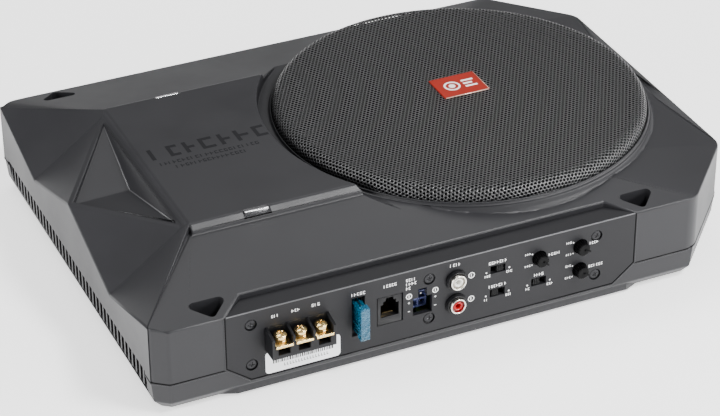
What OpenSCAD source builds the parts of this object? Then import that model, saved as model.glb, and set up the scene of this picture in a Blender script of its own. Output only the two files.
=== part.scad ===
// Compact powered car subwoofer: a low cast case with a faceted end, a shallow woofer
// under a perforated grille, and an amplifier behind a control panel on the front side.
// Millimetres. X runs along the case, Y across it (the control panel faces -Y), Z is up,
// and the origin is the centre of the footprint, on the surface that the feet stand on.

/* [Case] */
// Length of the case, along X
case_l = 345; // [340:1:352]
// Width of the case, along Y
case_w = 250; // [246:1:256]
// Height over the badge
case_h = 70; // [70:0.5:74]
// Height of the lid's rim
rim_z = 51; // [50:0.5:52]
// Height of the seam between the lid and the tray
seam_z = 19.6; // [18:0.2:20]
// Thickness of the cast walls
wall = 2.8; // [2.4:0.1:3]
// Height of the flat deck
deck_z = 69; // [68.5:0.1:70]

/* [Woofer] */
// Distance of the woofer's axis from the middle of the case
woofer_x = 54.4; // [52:0.2:56]
// Radius of the grille
grille_r = 103.1; // [102:0.1:103.4]
// Radius of the woofer's frame
basket_r = 98.3; // [96:0.1:98.4]
// Radius of the voice coil's former
coil_r = 24.9; // [24.8:0.05:25]
// Peak excursion of the cone, each way
cone_stroke = 5; // [3:0.5:5]

/* [Control panel] */
// Left edge of the panel
panel_x0 = -134.5; // [-135:0.1:-134]
// Right edge of the panel
panel_x1 = 96; // [95.5:0.1:96.5]
// Height of the upper row of controls
row_hi = 38.4; // [38:0.1:39]
// Height of the lower row of controls
row_lo = 24; // [23.5:0.1:24.5]
// Pitch of the columns of controls
column = 24; // [23.8:0.1:24.2]
// Pitch of the power terminals
terminal_pitch = 10.9; // [10.7:0.1:11]

/* [Hidden] */
$fn = 64;
eps = 0.01;

half_l = case_l / 2;
half_w = case_w / 2;
front_y = -half_w;
case_paint = "#3d3d42";
black = "#141416";

// ---- outline of the case, seen from above, counter-clockwise from the front left ----
left_cut = [8.2, 6.2];
right_cut = [40, 43.5];
case_corners = [
    [-half_l + left_cut.x, -half_w], [half_l - right_cut.x, -half_w],
    [half_l, -half_w + right_cut.y], [half_l, half_w - right_cut.y],
    [half_l - right_cut.x, half_w], [-half_l + left_cut.x, half_w],
    [-half_l, half_w - left_cut.y], [-half_l, -half_w + left_cut.y]];
corner_r = [4, 12, 12, 12, 12, 4, 4, 4];

function unit(v) = v / norm(v);
function wrap(i, n) = (i + n) % n;
function turn(v) = [-v.y, v.x];
// a polygon moved inwards by d on every edge
function inset(pts, d) = let (n = len(pts)) [for (i = [0:n - 1])
    let (a = turn(unit(pts[i] - pts[wrap(i - 1, n)])), b = turn(unit(pts[wrap(i + 1, n)] - pts[i])))
    pts[i] + (a + b) * d / (1 + a * b)];
// the arc that rounds corner b between its neighbours a and c
function corner_arc(a, b, c, r, steps = 6) =
    let (u = unit(a - b), w = unit(c - b), half = acos(u * w) / 2,
         mid = b + unit(u + w) * r / sin(half),
         from = atan2(b.y + u.y * r / tan(half) - mid.y, b.x + u.x * r / tan(half) - mid.x),
         to = atan2(b.y + w.y * r / tan(half) - mid.y, b.x + w.x * r / tan(half) - mid.x),
         sweep = to - from > 180 ? to - from - 360 : to - from < -180 ? to - from + 360 : to - from)
    [for (i = [0:steps]) mid + r * [cos(from + sweep * i / steps), sin(from + sweep * i / steps)]];
function rounded(pts, radii, steps = 6) = let (n = len(pts)) [for (i = [0:n - 1])
    each corner_arc(pts[wrap(i - 1, n)], pts[i], pts[wrap(i + 1, n)], radii[i], steps)];
function case_outline(d = 0) = rounded(inset(case_corners, d), [for (r = corner_r) max(r - d, 1)]);

module slab(pts, z0, z1) { translate([0, 0, z0]) linear_extrude(z1 - z0) polygon(pts); }
// a box given by its low and high corners
module span(lo, hi) { translate(lo) cube(hi - lo); }
// an upright plate outlined in X and Z, with its faces at y0 and y1
module plate_xz(pts, y0, y1) {
    translate([0, y1, 0]) rotate([90, 0, 0]) linear_extrude(y1 - y0) polygon(pts);
}
// a cylinder along Y between y0 and y1
module rod_y(x, z, r, y0, y1) { translate([x, y1, z]) rotate([90, 0, 0]) cylinder(r = r, h = y1 - y0); }
module at_woofer(z = 0) { translate([woofer_x, 0, z]) children(); }

// ---- lid ----
deck_x = -129;
deck_y = 64.3;
clip_x = -92.6;
clip_l = 13;
bevel = 3.3;
slope_foot_y = deck_y + bevel;
slope = 0.226;
slope_foot_z = rim_z + slope * (half_w - slope_foot_y);
gem_x = -131.5;
gem_y = 61;
gem_z = 65.8;
notch_z = 36;
peak_z = 55.5;
collar_z = 61.9;
collar_r = 104.4;
apron_z = 55;
seat_z = 56.5;
baffle_z = 51.5;
baffle_t = 4;
ring_r = 111.2;
ring_z = 60.4;
vent_half = 111;
vent_z0 = 8.6;
vent_z1 = 21.7;
left_rim_z = rim_z + slope * left_cut.y;

module apron(d = 0) {
    hull() {
        slab(case_outline(d), seam_z - (d > 0 ? 1 : 0), rim_z - d);
        for (side = [-1, 1]) {
            translate([deck_x, side * (slope_foot_y - d), slope_foot_z - d - 0.1]) cube([190 - d, 0.1, 0.1]);
            translate([-half_l + 1 + d, side * (half_w - left_cut.y - 1 - d), left_rim_z - d - 0.3])
                    cube(0.1);
        }
        at_woofer(apron_z - d - 1) cylinder(r = 106 - d, h = 1, $fn = 72);
    }
}
// plan of the faceted end
module gem_plan(z0, z1) {
    slab([[-half_l - 9, -half_w + left_cut.y], [-half_l, -half_w + left_cut.y], [deck_x, -deck_y],
          [deck_x, deck_y], [-half_l, half_w - left_cut.y], [-half_l - 9, half_w - left_cut.y]], z0, z1);
}
module gem() {
    end_y = half_w - left_cut.y;
    polyhedron(
        [[-half_l, end_y, left_rim_z], [-half_l, gem_y, notch_z], [-half_l, 0, peak_z],
         [-half_l, -gem_y, notch_z], [-half_l, -end_y, left_rim_z],
         [deck_x, -deck_y, deck_z], [deck_x, deck_y, deck_z], [gem_x, -gem_y, gem_z], [gem_x, gem_y, gem_z],
         [-half_l, -end_y, seam_z], [-half_l, end_y, seam_z], [deck_x, deck_y, seam_z],
                 [deck_x, -deck_y, seam_z],
         [-half_l, gem_y, seam_z], [-half_l, -gem_y, seam_z]],
        [[8, 6, 5, 7], [2, 8, 7], [0, 8, 1], [1, 8, 2], [2, 7, 3], [3, 7, 4], [4, 7, 5], [0, 6, 8],
         [10, 0, 1, 13], [13, 1, 2, 3, 14], [14, 3, 4, 9],
         [9, 4, 5, 12], [11, 6, 0, 10], [12, 5, 6, 11], [9, 12, 14], [14, 12, 11, 13], [13, 11, 10]]);
}
pocket_x = -133.2;
pocket_y = 54;
pocket_tip = [-169, 0, 54.2];
pocket_dip = [-138.2, 0, 55.2];
pocket_z = 65.3;
// sunken triangle in the middle facet, with a steep wall along the foot of the ridge
module gem_pocket() {
    top = 90;
    polyhedron(
        [[pocket_x, pocket_y, pocket_z], pocket_tip, [pocket_x, -pocket_y, pocket_z], pocket_dip,
         [pocket_x, pocket_y, top], [pocket_tip.x, 0, top], [pocket_x, -pocket_y, top]],
        [[1, 3, 0], [2, 3, 1], [3, 2, 0], [6, 5, 4], [4, 5, 1, 0], [5, 6, 2, 1], [6, 4, 0, 2]]);
}
module deck(d = 0) {
    y = deck_y - d;
    translate([deck_x + d, 0, 0]) rotate([90, 0, 90])
        linear_extrude(woofer_x - deck_x - d) polygon([
            [-y - bevel, slope_foot_z - 3 - d], [-y - bevel, deck_z - bevel - d], [-y, deck_z - d],
            [y, deck_z - d], [y + bevel, deck_z - bevel - d], [y + bevel, slope_foot_z - 3 - d]]);
}
// raised collar around the grille, with a filleted foot
module collar() {
    foot_w = 6.5;
    foot_h = 5.5;
    at_woofer() rotate_extrude() polygon(concat(
        [[0, 50], [collar_r + foot_w + 1, 50]],
        [for (a = [90:-10:0]) [collar_r + 1 + foot_w * (1 - cos(a)), apron_z - 1.6 + foot_h * (1 - sin(a))]],
        [[collar_r, collar_z], [0, collar_z]]));
}

module at_basket_screws(z) {
    at_woofer(z) for (a = [22.5:45:359]) rotate(a) translate([screw_r, 0, 0]) children();
}

// ---- triangular wells at the four corners, each with a fastening hole in its floor ----
well_x = [-139.3, 102];
well_y = 115.4;
well_floor = 9.6;
function well_outline(d = 0) = rounded(inset([[-12.6, 4.9], [0, -7.9], [12.6, 4.9]], d), [2.5, 2.5, 2.5], 4);
module each_well() {
    for (x = well_x) {
        translate([x, -well_y, 0]) children();
        translate([x, well_y, 0]) mirror([0, 1, 0]) children();
    }
}
module well_prism(d, z0, z1) { each_well() slab(well_outline(d), z0, z1); }

// ---- posts that hold the two halves together ----
post_xy = [[-157, -99, 52.5], [-157, 99, 52.5], [-108, 114, 51.5], [-36, 114, 51.5],
           [64, 114, 51.5], [152, 84, 51.5], [152, -84, 51.5], [-62, -101, 54.5]];
module lid_posts() { for (p = post_xy) translate([p.x, p.y, 12]) cylinder(r = 4.5, h = p.z - 12); }
// trims what it is given to just below the lid's long slopes
module under_slopes() {
    difference() {
        children();
        for (side = [-1, 1]) translate([-200, side * half_w, rim_z - 0.6])
            rotate([-side * atan(slope), 0, 0]) translate([0, side < 0 ? -10 : -80, 0]) cube([400, 90, 30]);
    }
}

// plan of the gap in the lid that the panel and its roof strip fill
roof_in = 12.7;
roof_y = front_y + 12.4;
function panel_plan(d = 0) = [
    [panel_x0 - d, front_y - 9], [panel_x1 + d, front_y - 9], [panel_x1 + d, front_y - d],
    [panel_x1 - roof_in + d, roof_y + d], [panel_x0 + roof_in - d, roof_y + d], [panel_x0 - d, front_y - d]];

module lid_cavity() {
    difference() {
        union() {
            apron(wall);
            deck(wall);
            slab(inset(case_corners, wall + 1), seam_z - 2, rim_z - 6);
        }
        gem_plan(0, 90);
        at_woofer(baffle_z - baffle_t) cylinder(r = ring_r + wall, h = 40);
    }
    plate_xz([[-half_l + wall, seam_z - 2], [deck_x + 2, seam_z - 2], [deck_x + 2, notch_z + 6],
              [-158, notch_z + 6], [-half_l + wall, notch_z - wall]], -half_w + 20, half_w - 20);
}
module top_lid() {
    color(case_paint) difference() {
        union() {
            difference() {
                union() {
                    difference() {
                        apron();
                        gem_plan(0, 90);
                    }
                    difference() {
                        gem();
                        gem_pocket();
                    }
                    deck();
                    collar();
                }
                lid_cavity();
            }
            lid_posts();
            under_slopes() {
                well_prism(-1.8, seam_z + 0.3, 60);
                intersection() {
                    slab(panel_plan(2.5), 46.6, 60);
                    slab(inset(case_corners, 1), 40, 70);
                }
            }
            intersection() {
                well_prism(-1.8, well_floor + 0.3, seam_z + 1);
                slab(inset(case_corners, 4.7), 0, 30);
            }
        }
        difference() {
            at_woofer(ring_z) cylinder(r = ring_r, h = 20);
            at_woofer(ring_z - 1) cylinder(r = collar_r, h = 30);
        }
        at_woofer(collar_z) cylinder(r = ring_r, h = 20);
        at_woofer(seat_z) cylinder(r = grille_r + 0.35, h = 20);
        at_woofer(baffle_z) cylinder(r = basket_r + 0.3, h = 20);
        at_woofer(30) cylinder(r = 91, h = 40);
        at_basket_screws(baffle_z - 5) cylinder(r = 1.9, h = 8);
        well_prism(0, 0, 90);
        slab(panel_plan(0.3), 0, 90);
        span([-half_l - 1, -vent_half, 0], [-half_l + 6, vent_half, vent_z1]);
        for (p = post_xy) translate([p.x, p.y, 11]) cylinder(r = 1.6, h = 14);
        for (side = [-1, 1]) translate([clip_x - clip_l / 2 - 0.3, side * (deck_y + 1) - 1.7, deck_z - 2.4])
            cube([clip_l + 0.6, 3.4, 5]);
    }
}

// ---- tray ----
tray_z = 1.5;
// fuller stretch of the tray under the control panel
sill_plan = [[-141, front_y + 7.5], [-128, front_y + 2.3], [94, front_y + 2.3], [104, front_y + 7],
             [104, front_y + 16], [-141, front_y + 16]];
floor_z = 4;
panel_z0 = 10.2;
panel_z1 = 20.2;
module tray_form(d = 0) {
    hull() {
        slab(inset(case_corners, 0.3 + d), seam_z - 0.5, seam_z);
        slab(inset(case_corners, 1.5 + d), 7, 7.2);
        slab(inset(case_corners, 6 + d), tray_z + d, tray_z + d + 0.2);
    }
}
module bottom_tray() {
    edge = 0.3;
    color(case_paint) difference() {
        union() {
            difference() {
                tray_form();
                slab(inset(case_corners, 6 + wall), floor_z, 30);
                slab(inset(case_corners, 1.5 + wall), 8, 30);
            }
            intersection() {
                union() {
                    well_prism(-2, 3.5, well_floor);
                    for (p = post_xy) translate([p.x, p.y, 2]) cylinder(r = 4.5, h = 9.7);
                }
                slab(inset(case_corners, 5.2), 0, 30);
            }
            slab(sill_plan, tray_z, 9);
        }
        plate_xz([[panel_x0 - edge, 60], [panel_x0 - edge, panel_z1 - edge], [panel_x0 + 13, panel_z0 - edge],
                  [panel_x1 - 12.3, panel_z0 - edge], [panel_x1 + edge, panel_z1 - edge],
                          [panel_x1 + edge, 60]],
                 front_y - 1, front_y + 12);
        span([-half_l - 1, -vent_half, vent_z0], [-half_l + 6, vent_half, 40]);
        each_well() cylinder(r = 2.6, h = 20);
        for (p = post_xy) {
            translate([p.x, p.y, -1]) cylinder(r = 1.7, h = 20);
            translate([p.x, p.y, -1]) cylinder(r = 3.4, h = 4.4);
        }
        for (p = foot_xy) translate([p.x, p.y, -1]) cylinder(r = foot_r + 0.1, h = 3.5);
    }
}
foot_r = 8;
foot_xy = [[-150, -84], [-150, 84], [140, 78], [140, -78]];
module rubber_feet() {
    color("#1b1b1c") for (p = foot_xy) translate([p.x, p.y, 0]) cylinder(r = foot_r, h = 2.5);
}
module case_screws() {
    color("#2c2c2e") for (p = post_xy) translate([p.x, p.y, 0]) {
        difference() {
            translate([0, 0, 1.5]) cylinder(r = 3, h = 1.9);
            translate([0, 0, 1.4]) cylinder(r = 1.4, h = 1.2, $fn = 6);
        }
        translate([0, 0, 3.4]) cylinder(r = 1.55, h = 16);
    }
}
// bright tabs set into the deck's two long edges
module deck_clips() {
    color("silver") for (side = [-1, 1])
        translate([clip_x - clip_l / 2, side * (deck_y + 0.4) - 0.9, deck_z - 2.4]) cube([clip_l, 1.8, 2]);
}
vent_pitch = 5.5;
module vent_louvre() {
    x = -half_l + 1.6;
    color(black) {
        span([x, -vent_half + 0.4, vent_z0 + 0.2], [x + 3, vent_half - 0.4, vent_z0 + 1.8]);
        span([x, -vent_half + 0.4, vent_z1 - 1.8], [x + 3, vent_half - 0.4, vent_z1 - 0.2]);
        for (i = [0:40]) translate([x, (i - 20) * vent_pitch - 0.9, vent_z0 + 1])
                cube([2.4, 1.8, vent_z1 - vent_z0 - 2]);
    }
}

// ---- grille ----
grille_z = 69.2;
edge_r = 6;
module speaker_grille() {
    t = 0.8;
    outer = concat([[grille_r, seat_z + 0.05]],
        [for (a = [0:9:90]) [grille_r - edge_r * (1 - cos(a)), grille_z - edge_r * (1 - sin(a))]],
                [[0, grille_z]]);
    inner = concat([[0, grille_z - t]],
        [for (a = [90:-9:0]) [grille_r - t - (edge_r - t) * (1 - cos(a)),
                grille_z - t - (edge_r - t) * (1 - sin(a))]],
        [[grille_r - t, seat_z + 0.05 + t], [grille_r - 3.5, seat_z + 0.05 + t],
                [grille_r - 3.5, seat_z + 0.05]]);
    color("#1f1f21") at_woofer() rotate_extrude($fn = 128) polygon(concat(outer, inner));
}
badge = [27, 21.5];
module grille_badge() {
    color("#d23a1c") slab(rounded([[57 - badge.x / 2, 5.5 - badge.y / 2],
            [57 + badge.x / 2, 5.5 - badge.y / 2],
        [57 + badge.x / 2, 5.5 + badge.y / 2], [57 - badge.x / 2, 5.5 + badge.y / 2]], [1, 1, 1, 1]),
                grille_z, case_h);
}

// ---- woofer ----
flange_z0 = 52.5;
flange_z1 = 55;
spider_z = 33;
plate_z = 20.5;
magnet_z = 9.5;
screw_r = 95.4;
module basket_gasket() {
    color("#101010") at_woofer(baffle_z) difference() {
        cylinder(r = basket_r, h = flange_z0 - baffle_z);
        translate([0, 0, -1]) cylinder(r = 91.6, h = 5);
        for (a = [22.5:45:359]) rotate(a) translate([screw_r, 0, -1]) cylinder(r = 1.9, h = 5);
    }
}
module woofer_basket() {
    color("#26262a") at_woofer() difference() {
        rotate_extrude($fn = 96) polygon([[basket_r, flange_z0], [basket_r, flange_z1], [88, flange_z1],
            [86, 53], [69, spider_z + 1.2], [67, spider_z], [60.5, spider_z], [60.5, spider_z - 1],
                    [52, 27.2],
            [27, 27.2], [27, 25.5], [53, 25.5], [62, spider_z - 2.4], [69, spider_z - 2.4], [88.5, 52.5]]);
        for (a = [0:60:359]) rotate(a + 30) hull() {
            translate([74, -14, spider_z + 3]) cube([1, 28, 30]);
            translate([81, -17, 38]) cube([4, 34, 12]);
        }
        for (a = [22.5:45:359]) rotate(a) translate([screw_r, 0, 50]) cylinder(r = 1.9, h = 9);
    }
}
module woofer_screws() {
    color("#3a3a3d") at_woofer() for (a = [22.5:45:359]) rotate(a) translate([screw_r, 0, 0]) {
        difference() {
            translate([0, 0, flange_z1]) cylinder(r = 2.6, h = 1.8);
            for (q = [0, 90]) rotate(q) translate([-1.4, -0.3, flange_z1 + 0.9]) cube([2.8, 0.6, 2]);
        }
        translate([0, 0, flange_z0 - 4]) cylinder(r = 1.85, h = 6.5);
    }
}
module back_plate() {
    color("#8d8f93") at_woofer() difference() {
        union() {
            translate([0, 0, magnet_z - 4.5]) cylinder(r = 50, h = 4.5);
            translate([0, 0, magnet_z - 1]) cylinder(r = coil_r - 1.2, h = 17);
        }
        translate([0, 0, 0]) cylinder(r = 5, h = 40);
    }
}
module ring_magnet() {
    color("#2b2b2b") at_woofer(magnet_z) difference() {
        cylinder(r = 52, h = plate_z - magnet_z);
        translate([0, 0, -1]) cylinder(r = 30, h = 20);
    }
}
module top_plate() {
    color("#9a9ca0") at_woofer(plate_z) difference() {
        cylinder(r = 49, h = 5);
        translate([0, 0, -1]) cylinder(r = coil_r + 1.3, h = 20);
    }
}
neck_z = 40;
cone_r = 78;
lip_z = 55;
module woofer_cone() {
    color("#1d1d20") at_woofer() rotate_extrude($fn = 96) polygon(concat(
        [for (i = [0:8]) let (u = i / 8) [coil_r + (cone_r - coil_r) * u, neck_z + 14.6 * pow(u, 0.85)]],
        [[cone_r + 1.6, lip_z], [cone_r + 1.6, lip_z - 0.9]],
        [for (i = [8:-1:0]) let (u = i / 8) [coil_r + (cone_r - coil_r) * u,
                neck_z - 1.2 + 14.6 * pow(u, 0.85)]]));
}
module dust_cap() {
    cap_r = 34;
    rise = 8;
    z0 = neck_z + 14.6 * pow((cap_r - coil_r) / (cone_r - coil_r), 0.85);
    color("#17171a") at_woofer() rotate_extrude($fn = 96) polygon(concat(
        [for (i = [0:8]) let (r = cap_r * i / 8) [r, z0 + rise * (1 - pow(r / cap_r, 2)) + 0.9]],
        [for (i = [8:-1:0]) let (r = cap_r * i / 8) [r, z0 + rise * (1 - pow(r / cap_r, 2)) + 0.05]]));
}
module voice_coil() {
    color("#b5763a") at_woofer() difference() {
        union() {
            translate([0, 0, 15.5]) cylinder(r = coil_r, h = neck_z + 1 - 15.5);
            translate([0, 0, 16]) cylinder(r = coil_r + 0.75, h = 14);
        }
        translate([0, 0, 15]) cylinder(r = coil_r - 0.6, h = 40);
    }
}
roll_r = 84.6;
module surround() {
    t = 0.8;
    color("#121214") at_woofer(lip_z) rotate_extrude($fn = 96) polygon(concat(
        [[cone_r - 1.5, 0.05], [cone_r - 1.5, t]],
        [for (a = [180:-15:0]) [roll_r + 5 * cos(a), t + 5.2 * sin(a)]],
        [[92.4, t], [92.4, 0.05]],
        [for (a = [0:15:180]) [roll_r + 4.2 * cos(a), 0.05 + 5 * sin(a)]]));
}
module spider() {
    wave = function (r) 0.9 * sin((r - 30) / 32 * 360 * 4);
    t = 0.6;
    color("#c9a227") at_woofer(spider_z + 1.8) rotate_extrude($fn = 96) polygon(concat(
        [[coil_r + 0.02, 0]],
        [for (r = [30:1:62]) [r, wave(r)]],
        [[66.5, -1.1], [66.5, -1.75], [62, -1.75]],
        [for (r = [61:-1:30]) [r, wave(r) - t]],
        [[coil_r + 0.02, -t]]));
}
module speaker_tabs() {
    color("#c8a24a") translate([-22, 0, 28]) {
        span([-1.2, -14, 0], [0.8, 14, 10]);
        for (y = [-8, 8]) span([-8, y - 2.5, 3], [-1.2, y + 2.5, 4]);
    }
}
// two stiff leads that rise from the amplifier board, pass the divider and end on the tabs
lead_r = 1.3;
lead_z = 24;
module speaker_leads() {
    color("#8e1f1f") for (y = [-8, 8]) {
        translate([-74, y, amp_z + 1.65]) cylinder(r = lead_r, h = lead_z + lead_r - amp_z - 1.65);
        translate([-75.2, y, lead_z]) rotate([0, 90, 0]) cylinder(r = lead_r, h = 49.4);
        translate([-27, y, lead_z - lead_r]) cylinder(r = lead_r, h = 31.3 - lead_z + lead_r);
    }
}
module chamber_divider() {
    color("#2a2a2c") difference() {
        translate([-66, 0, 0]) rotate([90, 0, 90]) linear_extrude(2) polygon([
            [-94, floor_z + 0.1], [104, floor_z + 0.1], [104, 51.8], [65, 60.3], [61, 62.3], [61, 65.8],
            [-61, 65.8], [-61, 62.3], [-65, 60.3], [-94, 53.8]]);
        for (y = [-8, 8]) translate([-68, y, lead_z]) rotate([0, 90, 0]) cylinder(r = lead_r + 0.4, h = 6);
    }
}

// ---- control panel and what it carries ----
skin = 2.6;
post_x = [-121, -23.4, 73];
post_z = [18.8, 42.8];
board_y = -112;
rca_x = -8.4;
switch_xz = [[rca_x + column, row_hi], [rca_x + column, row_lo], [rca_x + 2 * column, row_lo]];
pot_xz = [[rca_x + 2 * column, row_hi], [rca_x + 3 * column, row_hi + 0.6],
        [rca_x + 3 * column, row_lo + 0.6]];
term_x = -96.4;
term_w = 34.5;
term_z = [25.5, 39];
fuse_xz = [-62.8, 31.4];
jack_box = [[-52.3, 22.4], [-38.8, 38.8]];
hl_box = [[-32.5, 22.9], [-21.8, 33.3]];
hl_latch = [-29.6, -24.7, 38.4];

module at_posts(y) { for (x = post_x, z = post_z) translate([x, y, z]) rotate([90, 0, 0]) children(); }
module control_panel() {
    color("#48484c") difference() {
        union() {
            intersection() {
                plate_xz([[panel_x0, rim_z - 0.3], [panel_x0, panel_z1], [panel_x0 + 13, panel_z0],
                          [panel_x1 - 12.3, panel_z0], [panel_x1, panel_z1], [panel_x1, rim_z - 0.3]],
                         front_y, front_y + skin);
                slab(panel_plan(), 0, 90);
            }
            slab([[panel_x0, front_y + 0.1], [panel_x1, front_y + 0.1], [panel_x1 - roof_in, roof_y],
                  [panel_x0 + roof_in, roof_y]], rim_z - 2.7, rim_z - 0.3);
        }
        at_posts(front_y + skin + 1) cylinder(r = 1.7, h = 9);
        at_posts(front_y + 1.6) cylinder(r = 3.3, h = 9);
        span([term_x - term_w / 2 - 0.2, front_y - 5, term_z[0] - 0.2],
             [term_x + term_w / 2 + 0.2, front_y + 5, term_z[1] + 0.2]);
        span([fuse_xz[0] - 3.6, front_y - 5, fuse_xz[1] - 11.6],
                [fuse_xz[0] + 3.6, front_y + 5, fuse_xz[1] + 11.6]);
        span([jack_box[0].x - 0.3, front_y - 5, jack_box[0].y - 0.3],
             [jack_box[1].x + 0.7, front_y + 5, jack_box[1].y + 0.3]);
        span([hl_box[0].x, front_y - 5, hl_box[0].y], [hl_box[1].x, front_y + 5, hl_box[1].y]);
        span([hl_latch[0], front_y - 5, hl_box[1].y - 1], [hl_latch[1], front_y + 5, hl_latch[2]]);
        for (z = [row_lo, row_hi]) rod_y(rca_x, z, rca_ring_r + 0.2, front_y - 5, front_y + 5);
        for (s = switch_xz) span([s[0] - 4.3, front_y - 5, s[1] - 2.3],
                [s[0] + 4.3, front_y + 5, s[1] + 2.3]);
        for (p = pot_xz) rod_y(p[0], p[1], 4.3, front_y - 5, front_y + 5);
    }
}
module panel_screws() {
    color("#77777b") {
        at_posts(front_y + 1.6) difference() {
            cylinder(r = 2.9, h = 1.4);
            for (q = [0, 90]) rotate(q) translate([-1.7, -0.35, 0.4]) cube([3.4, 0.7, 2]);
        }
        at_posts(front_y + 9) cylinder(r = 1.45, h = 7.4);
    }
}
module panel_posts() {
    color("#b9a15a") at_posts(board_y) difference() {
        cylinder(r = 3.1, h = board_y - front_y - skin, $fn = 6);
        translate([0, 0, -1]) cylinder(r = 1.5, h = 20);
    }
}
module control_board() {
    color("#1d5b36") difference() {
        span([-124.6, board_y, 13], [83, board_y + 1.6, 46]);
        for (x = post_x, z = post_z) rod_y(x, z, 1.6, board_y - 1, board_y + 4);
    }
}
module serial_label() {
    color("white") plate_xz(rounded([[-113.8, 10.9], [-73, 10.9], [-73, 23.9], [-113.8, 23.9]], [2, 2, 2, 2]),
                            front_y - 0.12, front_y);
}

// power terminals: an open-topped block with three bays, one screw and clamp plate in each
bay_w = 9.6;
bay_x = [for (i = [-1:1]) term_x + i * terminal_pitch];
screw_y = front_y - 4.6;
plate_z0 = 32.2;
term_y = front_y - 9.8;
module terminal_block() {
    color(black) difference() {
        span([term_x - term_w / 2, term_y, term_z[0]], [term_x + term_w / 2, board_y - 0.2, term_z[1]]);
        for (x = bay_x) {
            span([x - bay_w / 2, term_y - 1, plate_z0 - 0.4], [x + bay_w / 2, front_y, 50]);
            span([x - 3.2, term_y - 1, 27.6], [x + 3.2, front_y, 40]);
        }
        translate([term_x - 30, term_y - 0.01, term_z[1] - 1.8]) rotate([10.5, 0, 0]) cube([60, 10, 5]);
    }
}
module clamp_plate(x) {
    color("#c9a558") difference() {
        span([x - 4.6, term_y - 1, plate_z0], [x + 4.6, front_y - 0.4, plate_z0 + 1.4]);
        translate([x, screw_y, 20]) cylinder(r = 1.8, h = 30);
    }
}
module clamp_battery() { clamp_plate(bay_x[0]); }
module clamp_remote() { clamp_plate(bay_x[1]); }
module clamp_ground() { clamp_plate(bay_x[2]); }
// captive screw with its spring washer
module terminal_screw(x) {
    z = plate_z0 + 1.45;
    color("#d8b564") translate([x, screw_y, 0]) {
        difference() {
            union() {
                translate([0, 0, z]) cylinder(r = 2.9, h = 1);
                translate([0, 0, z + 1]) cylinder(r = 2.1, h = 0.5);
                translate([0, 0, z + 1.5]) cylinder(r = 3.3, h = 2.4);
            }
            for (q = [0, 90]) rotate(q) translate([-2, -0.4, z + 2.7]) cube([4, 0.8, 3]);
        }
        translate([0, 0, plate_z0 - 4]) cylinder(r = 1.72, h = z - plate_z0 + 4);
    }
}
module screw_battery() { terminal_screw(bay_x[0]); }
module screw_remote() { terminal_screw(bay_x[1]); }
module screw_ground() { terminal_screw(bay_x[2]); }

// blade fuse in its holder
fuse_w = 5.1;
fuse_h = 19.1;
module fuse_holder() {
    color(black) difference() {
        span([fuse_xz[0] - 4.6, front_y + skin + 0.05, fuse_xz[1] - 12.4],
             [fuse_xz[0] + 4.6, board_y - 0.2, fuse_xz[1] + 12.4]);
        span([fuse_xz[0] - fuse_w / 2 - 0.2, front_y, fuse_xz[1] - fuse_h / 2 - 0.2],
             [fuse_xz[0] + fuse_w / 2 + 0.2, front_y + 4.4, fuse_xz[1] + fuse_h / 2 + 0.2]);
        for (s = [-1, 1]) span([fuse_xz[0] - 0.5, front_y, fuse_xz[1] + s * 6.3 - 2.8],
                               [fuse_xz[0] + 0.5, front_y + 11.8, fuse_xz[1] + s * 6.3 + 2.8]);
    }
}
module fuse_body() {
    color("#2f86b8") difference() {
        span([fuse_xz[0] - fuse_w / 2, front_y - 8.8, fuse_xz[1] - fuse_h / 2],
             [fuse_xz[0] + fuse_w / 2, front_y + 4, fuse_xz[1] + fuse_h / 2]);
        for (s = [-1, 1]) span([fuse_xz[0] + s * 2.55 - 0.7, front_y - 6, fuse_xz[1] - 5],
                               [fuse_xz[0] + s * 2.55 + 0.7, front_y + 1, fuse_xz[1] + 5]);
    }
}
module fuse_blades() {
    color("silver") for (s = [-1, 1]) span([fuse_xz[0] - 0.35, front_y + 4, fuse_xz[1] + s * 6.3 - 2.6],
                                           [fuse_xz[0] + 0.35, front_y + 11.2, fuse_xz[1] + s * 6.3 + 2.6]);
}

// remote-level jack, with a keyed mouth that steps in at the latch
jack_mid = (jack_box[0].x + jack_box[1].x) / 2;
jack_depth = 11;
module remote_jack() {
    color(black) difference() {
        span([jack_box[0].x, front_y, jack_box[0].y], [jack_box[1].x, board_y - 0.2, jack_box[1].y]);
        span([jack_mid - 5, front_y - 1, 26.6], [jack_mid + 5, front_y + jack_depth, 34.2]);
        span([jack_mid - 3.5, front_y - 1, 34], [jack_mid + 3.5, front_y + jack_depth, 36.2]);
        span([jack_mid - 2.1, front_y - 1, 36], [jack_mid + 2.1, front_y + 6, 38]);
    }
}
module jack_contacts() {
    color("#d8b04a") for (i = [-2.5:1:2.5]) span([jack_mid + i * 1.02 - 0.2, front_y + 3, 27],
                                                 [jack_mid + i * 1.02 + 0.2, front_y + 10.8, 27.5]);
}
// four-way speaker-level socket, set back in its window
hl_face = front_y + 6;
module high_level_socket() {
    color("#6b76b0") difference() {
        union() {
            span([hl_box[0].x + 0.2, hl_face, hl_box[0].y + 0.2],
                    [hl_box[1].x - 0.2, board_y - 0.2, hl_box[1].y - 0.2]);
            span([hl_latch[0] + 0.4, hl_face + 0.6, hl_box[1].y - 0.3],
                    [hl_latch[1] - 0.4, board_y - 0.2, hl_latch[2] - 1.4]);
        }
        for (x = [-1, 1], z = [-1, 1]) translate([(hl_box[0].x + hl_box[1].x) / 2 + x * 2.4, 0,
                28.1 + z * 2.3])
            span([-1.8, hl_face - 1, -1.7], [1.8, board_y - 1.2, 1.7]);
    }
}
module high_level_pins() {
    color("#cfcfd2") for (x = [-1, 1], z = [-1, 1])
        rod_y((hl_box[0].x + hl_box[1].x) / 2 + x * 2.4, 28.1 + z * 2.3, 0.5, hl_face + 1, board_y - 1.2);
}

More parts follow.
